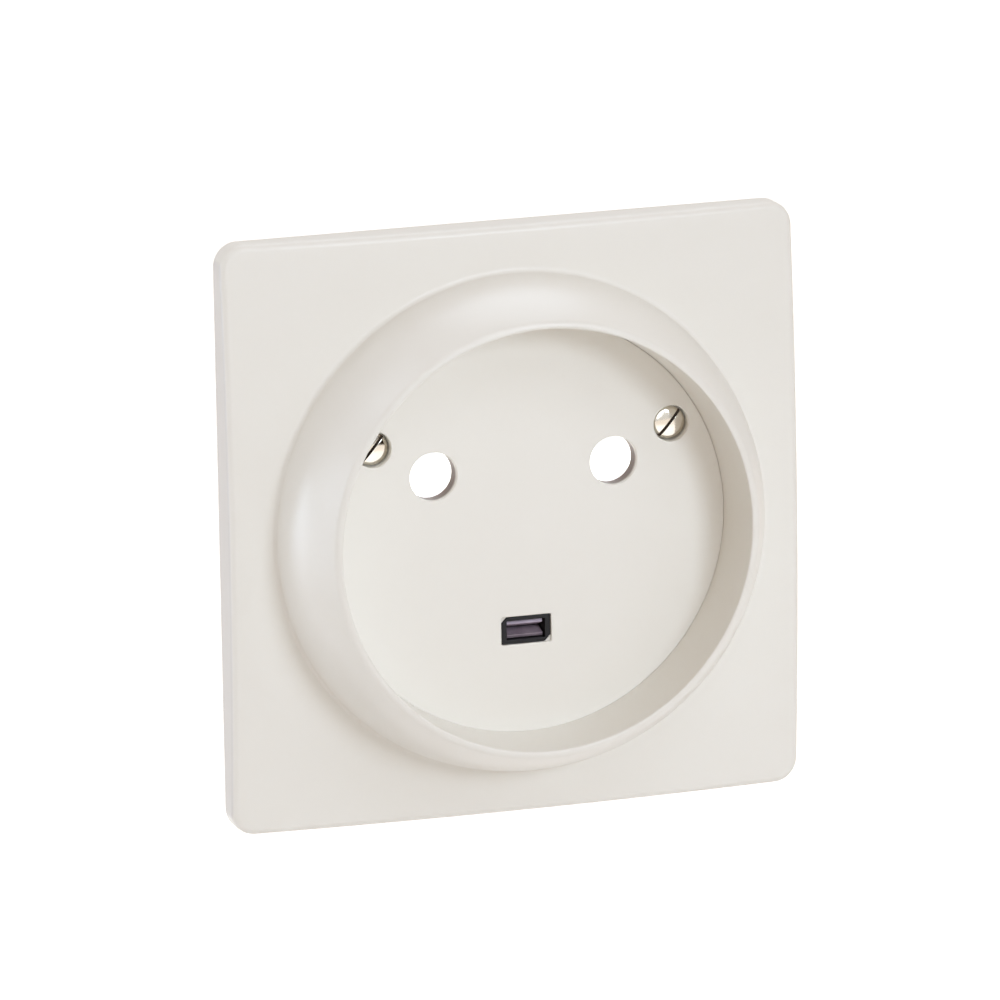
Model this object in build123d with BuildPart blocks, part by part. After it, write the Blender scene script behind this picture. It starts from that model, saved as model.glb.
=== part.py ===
from build123d import *
import os
from math import cos, hypot, radians, sin, sqrt, tan

# Flush wall socket for a plug with two round pins and a flat earth pin.
# Millimetres: X right, Z up. The front faces -Y and the wall is the plane y = 0.
# A height is a distance in front of the wall, so a face at height h lies at y = -h.

# Fits
gap = 0.1
play = 0.3

# Cover plate
plate_size = 80.0
plate_corner = 3.2
plate_wall = 2.2
plate_crown = 6.75
dome_radius = 470.0
plate_edge_round = 1.4
rib_thickness = 1.4
rib_overlap = 0.3
rib_reach = 12.0

# Collar and recess
collar_top = 18.3
foot_flare = 4.6
foot_round = 0.6
well_flare = 0.68
rim_width = 1.0
rim_inner_round = 0.4
rim_outer_round = 1.0
flank_bulge = 1.0
floor_margin = 1.5
ledge_width = 1.6
core_wall = 1.9
core_top = 12.5
core_tip = 0.4

# Disc in the recess
floor_height = 8.2
disc_thickness = 2.4
disc_edge_round = 0.2
spigot_depth = 1.6
spigot_wall = 1.0

# Pin holes and earth slot
pin_spacing = 25.24
pin_z = 7.72
pin_hole_radius = 3.28
slot_width = 7.0
slot_height = 3.8
slot_z = -14.22
slot_corner = 0.2
slot_key_recess = 0.25

# Screws through the disc, on a circle just outside the boss of the base
cover_screw_angle = 30.07
cover_screw_radius = 1.45
cover_screw_end = -1.5
cover_head_radius = 2.12
cover_head_height = 1.2
cover_head_round = 0.5
cover_bore_radius = 2.45
cover_bore_depth = 1.8
screw_slot_width = 0.5
screw_slot_depth = 0.6
screw_slot_turn = 49.0

# Mounting yoke
yoke_margin = 2.8
yoke_corner = 6.0
yoke_thickness = 1.2
box_screw_spacing = 60.0
box_slot_length = 7.0
box_slot_width = 3.8
tapped_collar_radius = 2.4
tapped_collar_height = 1.0
tapped_collar_margin = 0.2

# Base
base_depth = 17.0
base_edge = 2.2
boss_wall = 0.7
back_depth = 13.0
back_floor = 2.4
back_edge_chamfer = 1.5
nose_recess = 0.2
nose_side_wall = 0.7
nose_end_wall = 0.5
nose_corner_cut = 0.8
nose_lip = 3.2

# Shutter
shutter_travel = 7.4
shutter_cover = 0.5
shutter_pad_width = 7.6
shutter_back = -1.3
shutter_ramp_angle = 38.0
shutter_lip = 0.9
bar_width = 3.5
bar_front = 1.4
spring_radius = 1.5
spring_wire_radius = 0.3
spring_turns = 7
spring_seat_z = -9.0
spring_peg_radius = 0.9
spring_peg_length = 2.5

# Pin contacts
tube_inner_radius = 2.9
tube_wall = 0.8
tube_slit = 0.7
tube_slit_length = 10.0
contact_foot_radius = 4.4
contact_foot = 1.2
contact_bore_radius = 4.7
pin_passage_radius = 3.4
pin_passage_wall = 0.8
tail_thickness = 1.0
tail_width = 4.8
tail_length = 9.0
clip_thickness = 0.6
clip_width = 1.2
clip_setback = 2.2
clip_opening = 1.2

# Earth contact
fork_sheet = 0.5
fork_width = 5.0
fork_setback = 0.6
fork_mouth = 0.95
fork_throat = 0.3
fork_throat_setback = 2.2
fork_waist = 1.6
fork_waist_setback = 13.0
fork_bend = 1.5
fork_foot_size = 8.0
fork_foot = 0.8

# Terminals
cage_size = 8.4
cage_window = 5.4
cage_round = 0.6
cage_clearance = 0.2
wire_entry_radius = 2.8
clamp_screw_radius = 1.6
clamp_tip = 0.3
clamp_head_radius = 2.4
clamp_head_height = 1.6
clamp_head_standoff = 2.5
clamp_access_radius = 2.8

# Screws that hold the base together
yoke_screw_margin = 0.25
yoke_screw_radius = 1.1
yoke_screw_length = 8.0
yoke_head_radius = 2.1
yoke_head_height = 1.3
back_screw_inset = 3.7
back_screw_angle = -34.0
back_screw_radius = 1.3
back_screw_grip = 7.0
back_head_radius = 2.4
back_head_height = 1.6

# Places worked out from the sizes above
pin_x = pin_spacing / 2
box_screw_x = box_screw_spacing / 2
shutter_bottom = pin_z - pin_hole_radius - shutter_cover
shutter_top = pin_z + pin_hole_radius + shutter_cover
pocket_top = shutter_top + play
pocket_side = pin_x + shutter_pad_width / 2 + play
boss_radius = hypot(pocket_side, pocket_top) + boss_wall
cover_screw_circle = boss_radius + play + tapped_collar_radius + tapped_collar_margin
yoke_screw_z = boss_radius + play + yoke_head_radius + yoke_screw_margin
base_radius = yoke_screw_z + base_edge
yoke_size = plate_size - 2 * (plate_wall + yoke_margin)
well_radius = cover_screw_circle + cover_bore_radius + floor_margin
rim_radius = well_radius + well_flare
foot_radius = rim_radius + rim_width + foot_flare
dome_centre = dome_radius - plate_crown
foot_height = sqrt(dome_radius**2 - foot_radius**2) - dome_centre
ledge_front = floor_height - disc_thickness
ledge_radius = well_radius - ledge_width
spigot_radius = ledge_radius - gap
cover_bore_floor = floor_height - cover_bore_depth
boss_front = ledge_front - play
nose_front = floor_height - nose_recess
nose_base = nose_front - nose_lip
nose_width = slot_width - 2 * gap
nose_height = slot_height - 2 * gap
slot_corner_cut = nose_corner_cut + gap * (2 - sqrt(2))
back_plane = -base_depth - back_depth
cage_back = back_plane + back_floor
cage_depth = -base_depth - cage_back
cage_middle = (cage_back - base_depth) / 2
shutter_front = ledge_front - play
shutter_ramp_rise = shutter_top - shutter_bottom - shutter_lip
shutter_ramp_back = shutter_front - shutter_ramp_rise * tan(radians(shutter_ramp_angle))
bar_bottom = shutter_top - bar_width
pocket_floor = shutter_back - play
contact_bore_front = pocket_floor - pin_passage_wall
tube_front = contact_bore_front - play
tube_outer_radius = tube_inner_radius + tube_wall
clip_inner_radius = tube_outer_radius + gap / 2
fork_front = nose_front - fork_setback
spring_axis = (shutter_back + bar_front) / 2
spring_reach = spring_radius + spring_wire_radius
spring_bottom = spring_seat_z + gap + spring_wire_radius
spring_length = bar_bottom - gap - spring_wire_radius - spring_bottom


def mirrored_places(radius, angle):
    """Two places on a circle, left and right; the angle in degrees is counted up from the X axis."""
    x, z = radius * cos(radians(angle)), radius * sin(radians(angle))
    return [(-x, z), (x, z)]


pin_places = [(-pin_x, pin_z), (pin_x, pin_z)]
cover_screw_places = mirrored_places(cover_screw_circle, cover_screw_angle)
yoke_screw_places = [(0, yoke_screw_z), (0, -yoke_screw_z)]
back_screw_places = mirrored_places(base_radius - back_screw_inset, back_screw_angle)

# A terminal's place: x, z and the direction in which its clamp screw looks out of the base
line_place = (pin_x, pin_z, Vector(1, 0, 0))
neutral_place = (-pin_x, pin_z, Vector(-1, 0, 0))
earth_place = (0, slot_z, Vector(0, 0, -1))
terminal_places = [line_place, neutral_place, earth_place]


def at(height):
    """Plane parallel to the wall; its normal points to the front and its axes are X and Z."""
    return Plane.XZ.offset(height)


def clamp_plane(place, reach):
    """Plane across a clamp screw's axis, reach outwards from the middle of its terminal."""
    x, z, outwards = place
    return Plane(origin=Vector(x, -cage_middle, z) + outwards * reach, z_dir=outwards)


def keyed_rectangle(width, height, cut):
    """Rectangle at the earth slot, cut off at its upper left and lower right corners."""
    with BuildSketch() as outline:
        Rectangle(width, height)
        upper_left = outline.vertices().sort_by(Axis.X)[:2].sort_by(Axis.Y)[-1]
        lower_right = outline.vertices().sort_by(Axis.X)[2:].sort_by(Axis.Y)[0]
        chamfer([upper_left, lower_right], cut)
    return Pos(0, slot_z) * outline.sketch


def ring_edge(piece, radius):
    """Round edge of a piece whose radius is nearest to the one given."""
    return piece.edges().filter_by(GeomType.CIRCLE).sort_by(lambda edge: abs(edge.radius - radius))[0]


# Cavity behind the plate's face
with BuildPart() as plate_cavity:
    with BuildSketch(at(0)):
        cavity_corner = max(plate_corner - plate_wall, gap)
        RectangleRounded(plate_size - 2 * plate_wall, plate_size - 2 * plate_wall, cavity_corner)
    extrude(amount=plate_crown)
    with Locations((0, dome_centre, 0)):
        Sphere(dome_radius - plate_wall, mode=Mode.INTERSECT)

# Cover plate: a crowned square with a raised collar, moulded in one
with BuildPart() as cover_plate:
    with BuildSketch(at(0)):
        RectangleRounded(plate_size, plate_size, plate_corner)
    extrude(amount=plate_crown)
    with Locations((0, dome_centre, 0)):
        Sphere(dome_radius, mode=Mode.INTERSECT)
    fillet(cover_plate.faces().sort_by(Axis.Y)[0].edges(), plate_edge_round)
    collar_root = foot_height - plate_wall / 2
    with BuildSketch(Plane.XY):
        with BuildLine():
            Polyline(
                (rim_radius + rim_width, -collar_top),
                (rim_radius, -collar_top),
                (well_radius, -ledge_front),
                (ledge_radius, -ledge_front),
                (ledge_radius, -collar_root),
                (foot_radius, -collar_root),
                (foot_radius, -foot_height),
            )
            SagittaArc((foot_radius, -foot_height), (rim_radius + rim_width, -collar_top), flank_bulge)
        make_face()
    revolve(axis=Axis.Y)
    fillet(ring_edge(cover_plate, rim_radius + rim_width), rim_outer_round)
    fillet(ring_edge(cover_plate, rim_radius), rim_inner_round)
    fillet(ring_edge(cover_plate, foot_radius), foot_round)
    add(plate_cavity.part, mode=Mode.SUBTRACT)
    with BuildSketch(at(0)):
        Circle(ledge_radius)
    extrude(amount=collar_top, mode=Mode.SUBTRACT)
    with BuildSketch(at(ledge_front)):
        Circle(well_radius)
    extrude(amount=plate_crown, mode=Mode.SUBTRACT)
    # The collar is cored out from behind
    wall_draft = (rim_radius - well_radius) / (collar_top - ledge_front)
    core_tip_radius = well_radius + wall_draft * (core_top - ledge_front) + core_wall
    with BuildSketch(Plane.XY):
        with BuildLine():
            Polyline(
                (well_radius + core_wall, 0),
                (foot_radius - core_wall, 0),
                (core_tip_radius + core_tip, -core_top),
                (core_tip_radius, -core_top),
                close=True,
            )
        make_face()
    revolve(axis=Axis.Y, mode=Mode.SUBTRACT)
    # Four ribs on the diagonals stand on the yoke
    rib_start = foot_radius - core_wall / 2
    rib_top = sqrt((dome_radius - plate_wall) ** 2 - rib_start**2) - dome_centre + rib_overlap
    with BuildSketch(at(yoke_thickness)):
        with PolarLocations(rib_start + rib_reach / 2, 4, start_angle=45):
            Rectangle(rib_reach, rib_thickness)
    extrude(amount=rib_top - yoke_thickness)

# Disc that closes the recess and clamps the cover plate by its ledge
with BuildPart() as socket_front:
    with BuildSketch(at(ledge_front)):
        Circle(well_radius - gap)
    extrude(amount=disc_thickness)
    fillet(socket_front.faces().sort_by(Axis.Y)[0].edges(), disc_edge_round)
    with BuildSketch(at(ledge_front)):
        Circle(spigot_radius)
        Circle(spigot_radius - spigot_wall, mode=Mode.SUBTRACT)
    extrude(amount=-spigot_depth)
    with BuildSketch(at(floor_height)):
        with Locations(*pin_places):
            Circle(pin_hole_radius)
        add(keyed_rectangle(slot_width, slot_height, slot_corner_cut))
    extrude(amount=-disc_thickness, mode=Mode.SUBTRACT)
    with BuildSketch(at(floor_height)):
        with Locations((0, slot_z)):
            RectangleRounded(slot_width, slot_height, slot_corner)
    extrude(amount=-slot_key_recess, mode=Mode.SUBTRACT)
    with BuildSketch(at(floor_height)):
        with Locations(*cover_screw_places):
            Circle(cover_bore_radius)
    extrude(amount=-cover_bore_depth, mode=Mode.SUBTRACT)
    with BuildSketch(at(floor_height)):
        with Locations(*cover_screw_places):
            Circle(cover_screw_radius + play)
    extrude(amount=-disc_thickness - spigot_depth, mode=Mode.SUBTRACT)

# Slotted screws that hold disc and plate to the yoke
with BuildPart() as cover_screws:
    with BuildSketch(at(cover_bore_floor)):
        with Locations(*cover_screw_places):
            Circle(cover_head_radius)
    extrude(amount=cover_head_height)
    fillet(cover_screws.edges().group_by(Axis.Y)[0], cover_head_round)
    with BuildSketch(at(cover_bore_floor)):
        with Locations(*cover_screw_places):
            Circle(cover_screw_radius)
    extrude(amount=cover_screw_end - cover_bore_floor)
    with BuildSketch(at(cover_bore_floor + cover_head_height)):
        with Locations(*cover_screw_places):
            Rectangle(3 * cover_head_radius, screw_slot_width, rotation=screw_slot_turn)
    extrude(amount=-screw_slot_depth, mode=Mode.SUBTRACT)

# Shutter: two ramped pads on a bar; a pin on the ramps drives it down
with BuildPart() as shutter:
    for x, z in pin_places:
        with BuildSketch(Plane.YZ.offset(x - shutter_pad_width / 2)):
            with BuildLine():
                Polyline(
                    (-shutter_back, shutter_bottom),
                    (-shutter_back, shutter_top),
                    (-shutter_ramp_back, shutter_top),
                    (-shutter_front, shutter_bottom + shutter_lip),
                    (-shutter_front, shutter_bottom),
                    close=True,
                )
            make_face()
        extrude(amount=shutter_pad_width)
    with BuildSketch(at(shutter_back)):
        with Locations((0, shutter_top - bar_width / 2)):
            Rectangle(pin_spacing - shutter_pad_width, bar_width)
    extrude(amount=bar_front - shutter_back)
    with BuildSketch(Plane.XY.offset(bar_bottom)):
        with Locations((0, -spring_axis)):
            Circle(spring_peg_radius)
    extrude(amount=-spring_peg_length)

# Coil spring that holds the shutter up
with BuildPart() as shutter_spring:
    with BuildLine() as coil:
        Helix(
            pitch=spring_length / spring_turns,
            height=spring_length,
            radius=spring_radius,
            center=(0, -spring_axis, spring_bottom),
        )
    with BuildSketch(Plane(origin=coil.line @ 0, z_dir=coil.line % 0)):
        Circle(spring_wire_radius)
    sweep(is_frenet=True)

# Mounting yoke: a stamped steel plate
with BuildPart() as yoke:
    with BuildSketch(at(0)):
        RectangleRounded(yoke_size, yoke_size, yoke_corner)
        Circle(boss_radius + play, mode=Mode.SUBTRACT)
        with Locations((-box_screw_x, 0), (box_screw_x, 0)):
            SlotOverall(box_slot_length, box_slot_width, mode=Mode.SUBTRACT)
        with Locations((0, -box_screw_x), (0, box_screw_x)):
            SlotOverall(box_slot_length, box_slot_width, rotation=90, mode=Mode.SUBTRACT)
        with Locations(*yoke_screw_places):
            Circle(yoke_screw_radius + gap, mode=Mode.SUBTRACT)
    extrude(amount=yoke_thickness)
    with BuildSketch(at(0)):
        with Locations(*cover_screw_places):
            Circle(tapped_collar_radius)
    extrude(amount=yoke_thickness + tapped_collar_height)
    with BuildSketch(at(0)):
        with Locations(*cover_screw_places):
            Circle(cover_screw_radius + gap)
    extrude(amount=yoke_thickness + tapped_collar_height, mode=Mode.SUBTRACT)

# Screws that hold the yoke to the base
with BuildPart() as yoke_screws:
    with BuildSketch(at(yoke_thickness)):
        with Locations(*yoke_screw_places):
            Circle(yoke_head_radius)
    extrude(amount=yoke_head_height)
    with BuildSketch(at(yoke_thickness)):
        with Locations(*yoke_screw_places):
            Circle(yoke_screw_radius)
    extrude(amount=-yoke_screw_length)
    with BuildSketch(at(yoke_thickness + yoke_head_height)):
        with Locations(*yoke_screw_places):
            Rectangle(3 * yoke_head_radius, screw_slot_width)
    extrude(amount=-screw_slot_depth, mode=Mode.SUBTRACT)

# Base housing: carries shutter and contacts; its nose lines the earth slot
with BuildPart() as base_housing:
    with BuildSketch(at(0)):
        Circle(base_radius)
    extrude(amount=-base_depth)
    with BuildSketch(at(0)):
        Circle(boss_radius)
    extrude(amount=boss_front)
    with BuildSketch(at(boss_front)):
        add(keyed_rectangle(nose_width, nose_height, nose_corner_cut))
    extrude(amount=nose_front - boss_front)
    # Room for the shutter's pads, its bar and its spring
    pad_pocket_width = shutter_pad_width + 2 * play
    pad_pocket_height = pocket_top - (shutter_bottom - shutter_travel - play)
    bar_pocket_height = pocket_top - (bar_bottom - shutter_travel - play)
    with BuildSketch(at(boss_front)):
        with Locations(*[(x, pocket_top - pad_pocket_height / 2) for x, z in pin_places]):
            Rectangle(pad_pocket_width, pad_pocket_height)
        with Locations((0, pocket_top - bar_pocket_height / 2)):
            Rectangle(pin_spacing, bar_pocket_height)
    extrude(amount=pocket_floor - boss_front, mode=Mode.SUBTRACT)
    spring_pocket_floor = spring_axis - spring_reach - play
    with BuildSketch(at(boss_front)):
        with Locations((0, (pocket_top + spring_seat_z) / 2)):
            Rectangle(2 * (spring_reach + play), pocket_top - spring_seat_z)
    extrude(amount=spring_pocket_floor - boss_front, mode=Mode.SUBTRACT)
    with BuildSketch(Plane.XY.offset(spring_seat_z)):
        with Locations((0, -spring_axis)):
            Circle(spring_peg_radius)
    extrude(amount=spring_peg_length)
    # Bores for the pin contacts and the pins' way into them
    with BuildSketch(at(-base_depth)):
        with Locations(*pin_places):
            Circle(contact_bore_radius)
    extrude(amount=base_depth + contact_bore_front, mode=Mode.SUBTRACT)
    with BuildSketch(at(contact_bore_front)):
        with Locations(*pin_places):
            Circle(pin_passage_radius)
    extrude(amount=pin_passage_wall, mode=Mode.SUBTRACT)
    # Chamber for the earth contact, and its mouth in the nose
    fork_span = 2 * (fork_waist + fork_sheet / 2 + play)
    with BuildSketch(at(-base_depth)):
        with Locations((0, slot_z)):
            Rectangle(fork_width + 2 * play, fork_span)
    extrude(amount=base_depth + nose_base, mode=Mode.SUBTRACT)
    with BuildSketch(at(nose_front)):
        with Locations((0, slot_z)):
            Rectangle(nose_width - 2 * nose_side_wall, nose_height - 2 * nose_end_wall)
    extrude(amount=-nose_lip, mode=Mode.SUBTRACT)
    with BuildSketch(at(-base_depth)):
        with Locations((0, slot_z)):
            Rectangle(fork_foot_size + 2 * play, fork_foot_size + 2 * play)
    extrude(amount=fork_foot + play, mode=Mode.SUBTRACT)
    # Screw holes
    with BuildSketch(at(0)):
        with Locations(*cover_screw_places):
            Circle(cover_screw_radius + play)
    extrude(amount=cover_screw_end - play, mode=Mode.SUBTRACT)
    with BuildSketch(at(0)):
        with Locations(*yoke_screw_places):
            Circle(yoke_screw_radius + gap)
    extrude(amount=-yoke_screw_length, mode=Mode.SUBTRACT)
    with BuildSketch(at(-base_depth)):
        with Locations(*back_screw_places):
            Circle(back_screw_radius + gap)
    extrude(amount=back_screw_grip + play, mode=Mode.SUBTRACT)

# Rear cover of the base, with the terminals' chambers
with BuildPart() as base_back:
    with BuildSketch(at(back_plane)):
        Circle(base_radius)
    extrude(amount=back_depth)
    chamfer(base_back.edges().group_by(Axis.Y)[-1], back_edge_chamfer)
    for place in terminal_places:
        with BuildSketch(at(-base_depth)):
            with Locations(place[:2]):
                Rectangle(cage_size + 2 * cage_clearance, cage_size + 2 * cage_clearance)
        extrude(amount=-cage_depth, mode=Mode.SUBTRACT)
        with BuildSketch(at(back_plane)):
            with Locations(place[:2]):
                Circle(wire_entry_radius)
        extrude(amount=back_floor, mode=Mode.SUBTRACT)
        with BuildSketch(clamp_plane(place, cage_size / 2)):
            Circle(clamp_access_radius)
        extrude(amount=base_radius, mode=Mode.SUBTRACT)
    with BuildSketch(at(back_plane)):
        with Locations(*back_screw_places):
            Circle(back_screw_radius + gap)
    extrude(amount=back_depth, mode=Mode.SUBTRACT)
    with BuildSketch(at(back_plane)):
        with Locations(*back_screw_places):
            Circle(back_head_radius + gap)
    extrude(amount=back_head_height, mode=Mode.SUBTRACT)

# Screws that hold the rear cover
with BuildPart() as back_screws:
    with BuildSketch(at(back_plane)):
        with Locations(*back_screw_places):
            Circle(back_head_radius)
    extrude(amount=back_head_height)
    with BuildSketch(at(back_plane)):
        with Locations(*back_screw_places):
            Circle(back_screw_radius)
    extrude(amount=back_depth + back_screw_grip)
    with BuildSketch(at(back_plane)):
        with Locations(*back_screw_places):
            Rectangle(3 * back_head_radius, screw_slot_width)
    extrude(amount=screw_slot_depth, mode=Mode.SUBTRACT)


def pin_contact(place):
    """Split tube that grips a pin, with a foot on its terminal and a tail inside it."""
    x, z, outwards = place
    with BuildPart() as contact:
        with BuildSketch(at(-base_depth)):
            with Locations((x, z)):
                Circle(tube_outer_radius)
        extrude(amount=base_depth + tube_front)
        with BuildSketch(at(-base_depth)):
            with Locations((x, z)):
                Circle(contact_foot_radius)
        extrude(amount=contact_foot)
        with BuildSketch(at(tube_front)):
            with Locations((x, z)):
                Circle(tube_inner_radius)
        extrude(amount=contact_foot - base_depth - tube_front, mode=Mode.SUBTRACT)
        with BuildSketch(at(tube_front)):
            with Locations((x, z)):
                Rectangle(3 * tube_outer_radius, tube_slit)
                Rectangle(tube_slit, 3 * tube_outer_radius)
        extrude(amount=-tube_slit_length, mode=Mode.SUBTRACT)
        tail_offset = (cage_window - tail_thickness) / 2
        with BuildSketch(at(-base_depth)):
            with Locations((x - outwards.X * tail_offset, z)):
                Rectangle(tail_thickness, tail_width)
        extrude(amount=-tail_length)
    return contact.part


def terminal_cage(place):
    """Brass frame that a wire enters from behind, tapped for its clamp screw."""
    with BuildPart() as cage:
        with BuildSketch(at(cage_back)):
            with Locations(place[:2]):
                RectangleRounded(cage_size, cage_size, cage_round)
                Rectangle(cage_window, cage_window, mode=Mode.SUBTRACT)
        extrude(amount=cage_depth)
        with BuildSketch(clamp_plane(place, 0)):
            Circle(clamp_screw_radius + gap)
        extrude(amount=cage_size, mode=Mode.SUBTRACT)
    return cage.part


line_contact = pin_contact(line_place)
neutral_contact = pin_contact(neutral_place)
line_terminal = terminal_cage(line_place)
neutral_terminal = terminal_cage(neutral_place)
earth_terminal = terminal_cage(earth_place)

# Open spring clips round the two split tubes
with BuildPart() as contact_springs:
    with BuildSketch(at(tube_front - clip_setback)):
        for x, z in pin_places:
            with Locations((x, z)):
                Circle(clip_inner_radius + clip_thickness)
                Circle(clip_inner_radius, mode=Mode.SUBTRACT)
            with Locations((x, z + clip_inner_radius)):
                Rectangle(clip_opening, 2 * clip_inner_radius, mode=Mode.SUBTRACT)
    extrude(amount=-clip_width)

# Earth contact: a sheet folded to a fork, with a foot on its terminal and a tail inside it
with BuildPart() as earth_contact:
    with BuildSketch(Plane.YZ.offset(-fork_width / 2)):
        for side in (1, -1):
            with BuildLine() as blade:
                FilletPolyline(
                    (-fork_front, slot_z + side * fork_mouth),
                    (fork_throat_setback - nose_front, slot_z + side * fork_throat),
                    (fork_waist_setback - nose_front, slot_z + side * fork_waist),
                    (base_depth - fork_foot / 2, slot_z + side * fork_waist),
                    radius=fork_bend,
                )
            trace(blade.line, fork_sheet)
    extrude(amount=fork_width)
    with BuildSketch(at(-base_depth)):
        with Locations((0, slot_z)):
            Rectangle(fork_foot_size, fork_foot_size)
    extrude(amount=fork_foot)
    with BuildSketch(at(-base_depth)):
        with Locations((0, slot_z + (cage_window - tail_thickness) / 2)):
            Rectangle(tail_width, tail_thickness)
    extrude(amount=-tail_length)

# Clamp screws of the three terminals
with BuildPart() as terminal_screws:
    for place in terminal_places:
        head_seat = cage_size / 2 + clamp_head_standoff
        tip = cage_window / 2 - clamp_tip
        with BuildSketch(clamp_plane(place, tip)):
            Circle(clamp_screw_radius)
        extrude(amount=head_seat - tip)
        with BuildSketch(clamp_plane(place, head_seat)):
            Circle(clamp_head_radius)
        extrude(amount=clamp_head_height)
        with BuildSketch(clamp_plane(place, head_seat + clamp_head_height)):
            Rectangle(3 * clamp_head_radius, screw_slot_width)
        extrude(amount=-screw_slot_depth, mode=Mode.SUBTRACT)

pieces = {
    "cover_plate": cover_plate.part,
    "socket_front": socket_front.part,
    "cover_screws": cover_screws.part,
    "shutter": shutter.part,
    "shutter_spring": shutter_spring.part,
    "yoke": yoke.part,
    "yoke_screws": yoke_screws.part,
    "base_housing": base_housing.part,
    "base_back": base_back.part,
    "back_screws": back_screws.part,
    "line_contact": line_contact,
    "neutral_contact": neutral_contact,
    "contact_springs": contact_springs.part,
    "earth_contact": earth_contact.part,
    "line_terminal": line_terminal,
    "neutral_terminal": neutral_terminal,
    "earth_terminal": earth_terminal,
    "terminal_screws": terminal_screws.part,
}

os.makedirs("parts", exist_ok=True)
for name, piece in pieces.items():
    piece.label = name
    export_step(piece, f"parts/{name}.step")
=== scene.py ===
"""Looks of a flush wall socket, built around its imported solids.

Sizes in the classes are millimetres. X points right, Z up, and the front faces -Y. A height is a
distance in front of the wall, so a face at height h lies at y = -h.
"""
import logging
import math
from collections.abc import Sequence
from dataclasses import dataclass, field, replace
from enum import Enum

import bmesh
import bpy
import numpy as np
from mathutils import Matrix, Vector
from mathutils.geometry import delaunay_2d_cdt


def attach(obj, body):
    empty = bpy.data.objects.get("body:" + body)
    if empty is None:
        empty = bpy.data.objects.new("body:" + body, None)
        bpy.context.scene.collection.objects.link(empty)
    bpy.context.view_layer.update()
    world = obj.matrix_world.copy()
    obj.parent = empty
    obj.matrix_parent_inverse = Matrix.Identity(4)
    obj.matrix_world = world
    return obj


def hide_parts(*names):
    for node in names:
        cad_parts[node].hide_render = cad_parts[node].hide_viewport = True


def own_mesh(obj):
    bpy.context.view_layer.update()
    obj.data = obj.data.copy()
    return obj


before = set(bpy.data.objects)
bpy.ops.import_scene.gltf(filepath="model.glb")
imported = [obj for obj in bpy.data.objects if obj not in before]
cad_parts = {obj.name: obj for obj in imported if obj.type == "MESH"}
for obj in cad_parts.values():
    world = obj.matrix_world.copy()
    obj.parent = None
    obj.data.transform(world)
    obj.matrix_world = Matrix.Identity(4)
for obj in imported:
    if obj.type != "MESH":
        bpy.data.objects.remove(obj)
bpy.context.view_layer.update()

MM = 0.001
MERGE_DISTANCE = 1e-6
FLAT_ANGLE = 0.6
LOG = logging.getLogger("wall_socket")

Tone = tuple[float, float, float]


def linear(tone: Tone) -> tuple[float, float, float, float]:
    """Shader colour of a tone given as it looks on a screen, 0 to 255.

    Args:
        tone: Red, green and blue from 0 to 255.

    Returns:
        Linear red, green and blue, with an alpha of 1.
    """
    parts = [value / 255 for value in tone]
    bent = [p / 12.92 if p <= 0.04045 else ((p + 0.055) / 1.055) ** 2.4 for p in parts]
    return (bent[0], bent[1], bent[2], 1.0)


class Body(Enum):
    """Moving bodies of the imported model."""

    SOCKET = "socket"
    SHUTTER = "safety_shutter"


class Grain(Enum):
    """Marks that a metal piece keeps from its making."""

    TURNED = "rings round a screw's axis"
    ROLLED = "streaks along a sheet"
    TUMBLED = "fine even scratches"


class Field:
    """A shader socket in Python expressions; an operator on it adds one Math node."""

    def __init__(self, bench: "Bench", socket: bpy.types.NodeSocket | None) -> None:
        """Keep the socket and the bench that its node stands on."""
        self.bench = bench
        self.socket = socket

    def maths(self, operation: str, left: "Field | float", right: "Field | float" = 0.0) -> "Field":
        """Result of a Math node on two values."""
        return self.bench.add("ShaderNodeMath", {"operation": operation}, {0: left, 1: right})

    def __add__(self, other: "Field | float") -> "Field":
        """Sum of two values."""
        return self.maths("ADD", self, other)

    __radd__ = __add__

    def __sub__(self, other: "Field | float") -> "Field":
        """Difference of two values."""
        return self.maths("SUBTRACT", self, other)

    def __rsub__(self, other: float) -> "Field":
        """Difference from the number on the left."""
        return self.maths("SUBTRACT", other, self)

    def __mul__(self, other: "Field | float") -> "Field":
        """Product of two values."""
        return self.maths("MULTIPLY", self, other)

    def __pow__(self, other: float) -> "Field":
        """Power of a value."""
        return self.maths("POWER", self, other)

    def __abs__(self) -> "Field":
        """Value without its sign."""
        return self.maths("ABSOLUTE", self)

    def sine(self) -> "Field":
        """Sine of a value in radians."""
        return self.maths("SINE", self)

    def sign(self) -> "Field":
        """1 for a value above 0 and -1 for one below."""
        return self.maths("SIGN", self)

    def greater(self, other: "Field | float") -> "Field":
        """The larger of two values."""
        return self.maths("MAXIMUM", self, other)


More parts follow.
